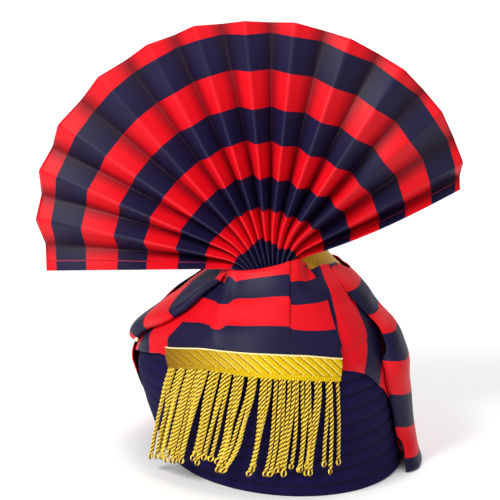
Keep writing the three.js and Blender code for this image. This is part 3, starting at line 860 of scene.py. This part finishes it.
# Gold braid: a woven metallic braid about 18 mm wide, sewn along the flap's lower edge. It has a
# cream cord on its upper edge, slanting ribs, and a beaded heading that the fringe hangs from.
braid_wall = 1.6
braid_edges = table(
    "across low_theta low top_theta top",
    (0, -38, 81, -46, 93),
    (0.27, -17, 85, -20, 98),
    (0.5, 2, 83, 2, 97),
    (0.77, 24, 79.5, 24, 94),
    (1, 41, 75, 44, 88),
)
braid_length = 122.0
braid_width = 19.0
rib_spacing = 7.0
rib_lean = 1.1
rib_height = 0.7
bead_spacing = 1.7
bead_height = 0.75
piping_height = 0.9
# Shares of the braid's width: the beads below, the cord above, and a groove beside each.
beads_top = 0.2
low_groove = 0.22
high_groove = 0.915
cord_foot = 0.92
cord_share = 0.08
groove_depth = 0.3


def place_braid(across, up):
    edge = read(braid_edges, "across", across)
    theta = mix(edge["low_theta"], edge["top_theta"], up)
    rise = mix(edge["low"], edge["top"], up)
    base = 2 * layer_gap + 1.5 * cloth_wall + cloth_wall / 2 + layer_gap + braid_wall / 2
    slant = (across * braid_length + up * braid_width * rib_lean) / rib_spacing
    ribs = rib_height * np.abs(np.sin(np.pi * slant)) ** 0.5
    heading = smooth(up, beads_top + 0.04, beads_top)
    beads = bead_height * np.abs(np.sin(np.pi * across * braid_length / bead_spacing)) ** 0.7
    beads = beads * np.sin(np.pi * np.clip(up / beads_top, 0, 1)) ** 0.5
    piping = piping_height * np.sin(np.pi * np.clip((up - cord_foot) / cord_share, 0, 1)) ** 0.5
    low = np.exp(-((up - low_groove) / 0.02) ** 2)
    high = np.exp(-((up - high_groove) / 0.012) ** 2)
    groove = -groove_depth * low - groove_depth * high
    lift = np.where(up < cord_foot, mix(ribs, beads, heading), piping) + groove
    points = off_form(theta, rise, base + lift)
    return points, across * braid_length, up * braid_width


braid = lay_sheet("gold_braid_band", 430, 48, place_braid, thickness=braid_wall * MM, offset=-1)

# Gilt thread braid: bright threads with a painted glint along them, painted shade in dark lines
# between the slanting ribs and painted dashed highlights beside them, a left end darkened with
# painted shade, and a cream cotton cord on its upper edge.
gold_braid, tree, shader = new_material("gilt_thread_braid", Roughness=0.4, Specular_IOR_Level=0.15)
chart = add(tree, "UVMap", {}, uv_map="cloth")[0]
parts = add(tree, "SeparateXYZ", {0: chart})
rib = add(tree, "Math", {0: parts[1], 1: rib_lean, 2: parts[0]}, operation="MULTIPLY_ADD")[0]
rib = add(tree, "Math", {0: rib, 1: rib_spacing * MM}, operation="DIVIDE")[0]
rib = add(tree, "Math", {0: rib}, operation="FRACT")[0]
apart = add(tree, "Math", {0: rib, 1: 0.5}, operation="SUBTRACT")[0]
apart = add(tree, "Math", {0: apart}, operation="ABSOLUTE")[0]
# Painted shade: dark lines in the grooves between the slanting ribs, above the beaded heading.
painted_groove_shade = add(tree, "MapRange", {0: apart, 1: 0.4, 2: 0.48, 3: 0.0, 4: 0.85})[0]
turned = add(tree, "Mapping", {"Vector": chart, "Rotation": (0, 0, math.radians(-48))})[0]
thread_scale = 1 / 0.0009 / ribs_at_scale_one
thread = add(tree, "TexWave", {"Vector": turned, "Scale": thread_scale, "Distortion": 1.5})[0]
speck = add(tree, "TexNoise", {"Vector": turned, "Scale": 1 / 0.0014, "Detail": 3})[0]
# Painted glint: the threads' wave colours the gold bright and dark in lines, over their uneven tone.
weave_and_painted_glint = add(tree, "Math", {0: thread, 1: 0.5, 2: speck}, operation="MULTIPLY_ADD")[0]
weave_and_painted_glint = add(tree, "Math", {0: weave_and_painted_glint, 1: 0.25}, operation="SUBTRACT")[0]
gold = add(tree, "Mix", {0: weave_and_painted_glint, 6: "#a87000", 7: "#ffdf00"}, data_type="RGBA")[2]
# Painted highlight: short bright dashes beside each rib, above the beaded heading.
painted_dash_highlights = add(tree, "Math", {0: parts[1], 1: 0.0014}, operation="FLOORED_MODULO")[0]
painted_dash_highlights = add(tree, "Math", {0: painted_dash_highlights, 1: 0.0008}, operation="LESS_THAN")[0]
beside = add(tree, "Math", {0: rib, 1: 0.17, 2: 0.06}, operation="COMPARE")[0]
painted_dash_highlights = add(tree, "Math", {0: painted_dash_highlights, 1: beside}, operation="MULTIPLY")[0]
above = add(tree, "Math", {0: parts[1], 1: braid_width * low_groove * MM}, operation="GREATER_THAN")[0]
painted_dash_highlights = add(tree, "Math", {0: painted_dash_highlights, 1: above}, operation="MULTIPLY")[0]
painted_groove_shade = add(tree, "Math", {0: painted_groove_shade, 1: above}, operation="MULTIPLY")[0]
gold = add(tree, "Mix", {0: painted_dash_highlights, 6: gold, 7: "#ffe98c"}, data_type="RGBA")[2]
gold = add(tree, "Mix", {0: painted_groove_shade, 6: gold, 7: "#5c3a04"}, data_type="RGBA")[2]
# Painted shade: the gold darkens over the braid's first 65 mm, towards its left end.
painted_left_end_shade = add(tree, "MapRange", {0: parts[0], 1: 0.0, 2: 0.065, 3: 0.95, 4: 0.0})[0]
gold = add(tree, "Mix", {0: painted_left_end_shade, 6: gold, 7: "#7a5206"}, data_type="RGBA")[2]
cord_edge = braid_width * 0.925 * MM
is_cord = add(tree, "Math", {0: parts[1], 1: cord_edge}, operation="GREATER_THAN")[0]
gold = add(tree, "Mix", {0: is_cord, 6: gold, 7: "#f2dca0"}, data_type="RGBA")[2]
tree.links.new(gold, shader.inputs["Base Color"])
relief = add(tree, "Bump", {"Height": thread, "Distance": 0.0003, "Strength": 0.6})[0]
tree.links.new(relief, shader.inputs["Normal"])

braid.data.materials.append(gold_braid)
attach(braid, "root")
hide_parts("gold_braid")


# Fringe: two-ply twisted gilt cords 3 mm thick and 65 to 71 mm long, each doubled over so that
# it ends in a small open loop. They hang from the braid a little aslant, up to four together.
fringe_locks = table(
    "across length slant cords spacing sweep",
    (0.02, 69, 7, 3, 2.6, 0),
    (0.09, 68, 8, 3, 2.4, 0),
    (0.16, 70, 9, 3, 2.3, 0),
    (0.23, 70, 9.5, 4, 2.2, 0),
    (0.3, 69, 8.5, 3, 2.3, 0),
    (0.37, 70, 9.5, 3, 2.2, 0),
    (0.44, 71, 9, 3, 2.3, 4),
    (0.51, 71, 8.5, 3, 2, 17),
    (0.58, 71, 7, 3, 2.3, 0),
    (0.65, 70, 5, 3, 2.3, 0),
    (0.72, 69, 3.5, 3, 2.2, 0),
    (0.79, 68, 2.5, 3, 2.2, 0),
    (0.86, 67, 4.5, 2, 2.3, 0),
    (0.93, 66, 0, 2, 2.1, 0),
    (0.985, 65, -1, 1, 2, 0),
)
cord_clearance = 4.2
cord_overlap = (0, 1.1, 0.4, 1.6)
lock_sway = 4
cord_sway = 5
sweep_start = 0.6
yarn_length = 134
ply_radius = 0.72
twist_radius = 0.78
twist_pitch = 6.4
loop_length = 5.0
loop_half_width = 1.5
cord_steps = 110
ply_sides = 6


def pushed_out(point, clearance):
    """Moves a point that is too near the cap straight out from the head's middle."""
    rise = point[2]
    for turn in range(4):
        oval = read_at(head_form, "rise", rise)
        rise = point[2] - (point[0] - oval["shift"]) * math.tan(math.radians(oval["tip"]))
    x = point[0] - oval["shift"]
    y = point[1] - oval["back"]
    share = math.hypot(x / (oval["width"] + clearance), y / (oval["depth"] + clearance))
    if share >= 1:
        return point
    return np.array([oval["shift"] + x / share, oval["back"] + y / share, point[2]])


def cord_path(lock, across, clearance, sway):
    """The middle line of one cord, from under the braid to its loop, in millimetres."""
    edge = read_at(braid_edges, "across", across)
    point = off_form(np.array([edge["low_theta"]]), np.array([edge["low"] + 1]), [clearance])[0]
    rows = 24
    step = lock["length"] / rows
    path = [point]
    for row in range(rows):
        share = row / rows
        slope = math.tan(math.radians(lock["slant"] + sway * math.sin(math.pi * share * 1.4)))
        swept = lock["sweep"] * max(0, share - sweep_start) / 0.4 * 2.5 / rows
        moved = point + np.array([-step * slope * min(1, row / 6) - swept, 0, -step])
        point = pushed_out(moved, clearance)
        path.append(point)
    return np.array(path), math.radians(edge["low_theta"])


def lay_cord(shape, path, facing, start_turn, loop_width):
    """Adds the doubled cord: one ply runs down its path, round the loop and back up."""
    sideways = np.array([math.cos(facing), math.sin(facing), 0])
    outward = np.array([math.sin(facing), -math.cos(facing), 0])

    def place_spine(along):
        down = 1 - np.abs(2 * along - 1)
        where = down * (len(path) - 1)
        return np.stack([np.interp(where, range(len(path)), path[:, axis]) for axis in range(3)], -1)

    def place_ply(along):
        down = 1 - np.abs(2 * along - 1)
        side = np.where(along < 0.5, 1, -1)
        length = np.linalg.norm(path[-1] - path[0])
        run = length * down
        left = length - run
        open_share = smooth(left, loop_length, loop_length * 0.5)
        turn = start_turn + 2 * math.pi * run / twist_pitch
        loop = loop_width * np.sin(np.pi * np.clip(left / loop_length, 0, 1)) ** 0.7
        wide = mix(twist_radius * np.cos(turn), loop, open_share)
        deep = mix(twist_radius * np.sin(turn), 0, open_share)
        return place_spine(along) + sideways * (wide * side)[:, None] + outward * (deep * side)[:, None]

    def place_cord(along, round_share):
        near = 0.0015
        ahead = place_ply(np.clip(along + near, 0, 1)) - place_ply(np.clip(along - near, 0, 1))
        ahead = ahead / np.maximum(np.linalg.norm(ahead, axis=-1, keepdims=True), 1e-9)
        across_ply = np.cross(ahead, outward)
        across_ply = across_ply / np.maximum(np.linalg.norm(across_ply, axis=-1, keepdims=True), 1e-9)
        deep_ply = np.cross(across_ply, ahead)
        angle = 2 * math.pi * round_share
        ring = across_ply * np.cos(angle)[:, None] + deep_ply * np.sin(angle)[:, None]
        points = place_ply(along) + ply_radius * ring
        from_middle = np.linalg.norm(points - place_spine(along), axis=-1)
        return points, along * yarn_length, from_middle

    lay_grid(shape, columns=2 * cord_steps, rows=ply_sides, place=place_cord)


shape = bmesh.new()
chance = random.Random(7)
for number in range(len(fringe_locks["across"])):
    lock = {name: column[number] for name, column in fringe_locks.items()}
    sway = chance.uniform(-lock_sway, lock_sway)
    cords = int(lock["cords"])
    for place_in_lock in range(cords):
        beside = (place_in_lock - (cords - 1) / 2) * lock["spacing"] / braid_length
        across = lock["across"] + beside + chance.uniform(-0.5, 0.5) / braid_length
        across = min(0.995, max(0.002, across))
        clearance = cord_clearance + cord_overlap[place_in_lock]
        path, facing = cord_path(lock, across, clearance, sway + chance.uniform(-cord_sway, cord_sway))
        kept = len(path) - chance.choice((0, 0, 1, 2))
        loop_width = loop_half_width * chance.uniform(0.7, 1.2)
        lay_cord(shape, path[:kept], facing, chance.uniform(0, 2 * math.pi), loop_width)
fringe = piece_from(shape, "fringe_cords", closed=True)

# Gilt twist: bright yellow metallic yarn, with painted shade in the grooves between its two plies.
# The chart's second way is the distance from the cord's middle line.
gold_cord, tree, shader = new_material("gilt_twist", Roughness=0.32, Specular_IOR_Level=0.25)
chart = add(tree, "UVMap", {}, uv_map="cloth")[0]
parts = add(tree, "SeparateXYZ", {0: chart})
place = add(tree, "TexCoord", {})["Object"]
yarn = add(tree, "TexNoise", {"Vector": place, "Scale": 1 / 0.0013, "Detail": 3})[0]
gold = add(tree, "Mix", {0: yarn, 6: "#e09600", 7: "#fff860"}, data_type="RGBA")[2]
# Painted shade: the yarn is darkened near the cord's middle line, where the two plies meet in a groove.
groove = add(tree, "MapRange", {0: parts[1], 1: 0.0009, 2: 0.0014, 3: 1.0, 4: 0.0})[0]
gold = add(tree, "Mix", {0: groove, 6: gold, 7: "#6a4200"}, data_type="RGBA")[2]
tree.links.new(gold, shader.inputs["Base Color"])
relief = add(tree, "Bump", {"Height": yarn, "Distance": 0.0002, "Strength": 0.5})[0]
tree.links.new(relief, shader.inputs["Normal"])

fringe.data.materials.append(gold_cord)
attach(fringe, "root")
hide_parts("fringe")


# Pearl pin: a small round imitation pearl, dipped over the head of a dressmaker's pin, which
# holds the cloth beside the corner of the roll.
pearl_low, pearl_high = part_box("pearl_pin")
pearl_radius = 1.7 * MM
shape = bmesh.new()
bmesh.ops.create_uvsphere(shape, u_segments=32, v_segments=20, radius=pearl_radius)
bmesh.ops.translate(shape, verts=shape.verts, vec=(pearl_low + pearl_high) / 2)
for face in shape.faces:
    face.smooth = True
pearl = piece_from(shape, "pearl_head")

# Imitation pearl: warm white lacquer with a clear coat over it, so it has a soft highlight.
pearl_coat, tree, shader = new_material("imitation_pearl", Roughness=0.3, Coat_Weight=0.6)
place = add(tree, "TexCoord", {})["Object"]
cloudy = add(tree, "TexNoise", {"Vector": place, "Scale": 1 / 0.002})[0]
lustre = add(tree, "Mix", {0: cloudy, 6: "#f6ead2", 7: "#fffaf0"}, data_type="RGBA")[2]
tree.links.new(lustre, shader.inputs["Base Color"])

pearl.data.materials.append(pearl_coat)
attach(pearl, "root")
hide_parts("pearl_pin")


# Tacks: two flat pin heads of black lacquered steel, pushed in to fix the layers at the top
# edge of the wraps.
black_lacquer, tree, shader = new_material("black_lacquer", Roughness=0.35)
place = add(tree, "TexCoord", {})["Object"]
scuffs = add(tree, "TexNoise", {"Vector": place, "Scale": 1 / 0.001})[0]
black = add(tree, "Mix", {0: scuffs, 6: "#050506", 7: "#141416"}, data_type="RGBA")[2]
tree.links.new(black, shader.inputs["Base Color"])
tack_places = {"tack_left": (37.5, 140.0), "tack_right": (76.0, 134.3)}
tack_radius = 1.1
tack_top_radius = 0.9
tack_height = 0.9
for name, (theta, rise) in tack_places.items():
    low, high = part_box(name)
    shape = bmesh.new()
    bmesh.ops.create_cone(
        shape, cap_ends=True, segments=24,
        radius1=tack_radius * MM, radius2=tack_top_radius * MM, depth=tack_height * MM)
    bmesh.ops.bevel(
        shape, geom=shape.edges[:], offset=0.25 * MM, segments=3, profile=0.5, affect="EDGES", material=-1)
    facing = form_normal(np.array([theta]), np.array([rise]))[0]
    turn = Vector((0, 0, 1)).rotation_difference(Vector(facing)).to_matrix()
    bmesh.ops.rotate(shape, verts=shape.verts, cent=(0, 0, 0), matrix=turn)
    bmesh.ops.translate(shape, verts=shape.verts, vec=(low + high) / 2)
    tack = piece_from(shape, name + "_head")
    tack.data.materials.append(black_lacquer)
    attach(tack, "root")
    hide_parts(name)


# Studio: a wide pale floor, soft daylight all round, large lamps above and in front, and one
# more that lights the floor behind.
shape = bmesh.new()
bmesh.ops.create_grid(shape, x_segments=2, y_segments=2, size=9)
floor = piece_from(shape, "floor")
floor_paint, tree, shader = new_material("pale_floor", Roughness=0.9)
shader.inputs["Base Color"].default_value = srgb("#fafafa")
floor.data.materials.append(floor_paint)

scene = bpy.context.scene
world = bpy.data.worlds.new("studio")
world.use_nodes = True
world.node_tree.nodes["Background"].inputs["Color"].default_value = (1, 1, 1, 1)
world.node_tree.nodes["Background"].inputs["Strength"].default_value = 0.28
scene.world = world
scene.view_settings.view_transform = "Standard"

lamps = {
    "key": dict(place=(-1.0, -1.4, 1.4), aim=(0, 0, 0.16), size=0.7, power=41),
    "fill": dict(place=(1.0, -1.9, 0.8), aim=(0, 0, 0.16), size=1.2, power=11),
    "top": dict(place=(0.1, 0.4, 2.2), aim=(0, 0, 0.16), size=1.2, power=14),
    "backdrop": dict(place=(0, 3.2, 2.4), aim=(0, 2.6, 0), size=2.5, power=90),
}
for name, lamp in lamps.items():
    light = bpy.data.lights.new(name, "AREA")
    light.size = lamp["size"]
    light.energy = lamp["power"]
    lamp_object = bpy.data.objects.new(name, light)
    lamp_object.location = lamp["place"]
    toward = Vector(lamp["aim"]) - Vector(lamp["place"])
    lamp_object.rotation_euler = toward.to_track_quat("-Z", "Y").to_euler()
    scene.collection.objects.link(lamp_object)

# Camera: a long lens a metre and a half off, a little to the right and 14 degrees above, and
# rolled a little.
view_turn = math.radians(6)
view_rise = math.radians(14)
view_roll = math.radians(4.4)
view_distance = 1.5
view_target = Vector((rim_centre + np.array([-37.4, 0, 149.4])) * MM)
focal_pixels = 2019.4
photo_pixels = 500
sensor_width = 36

back = Vector((math.cos(view_rise) * math.sin(view_turn),
               -math.cos(view_rise) * math.cos(view_turn), math.sin(view_rise)))
level = Vector((math.cos(view_turn), math.sin(view_turn), 0))
upright = back.cross(level)
right = level * math.cos(view_roll) + upright * math.sin(view_roll)
up = upright * math.cos(view_roll) - level * math.sin(view_roll)
camera = bpy.data.objects.new("camera", bpy.data.cameras.new("camera"))
camera.data.lens = focal_pixels / photo_pixels * sensor_width
camera.data.sensor_width = sensor_width
camera.data.clip_end = 50
turned = Matrix((right, up, back)).transposed().to_4x4()
camera.matrix_world = Matrix.Translation(view_target + back * view_distance) @ turned
scene.collection.objects.link(camera)
scene.camera = camera
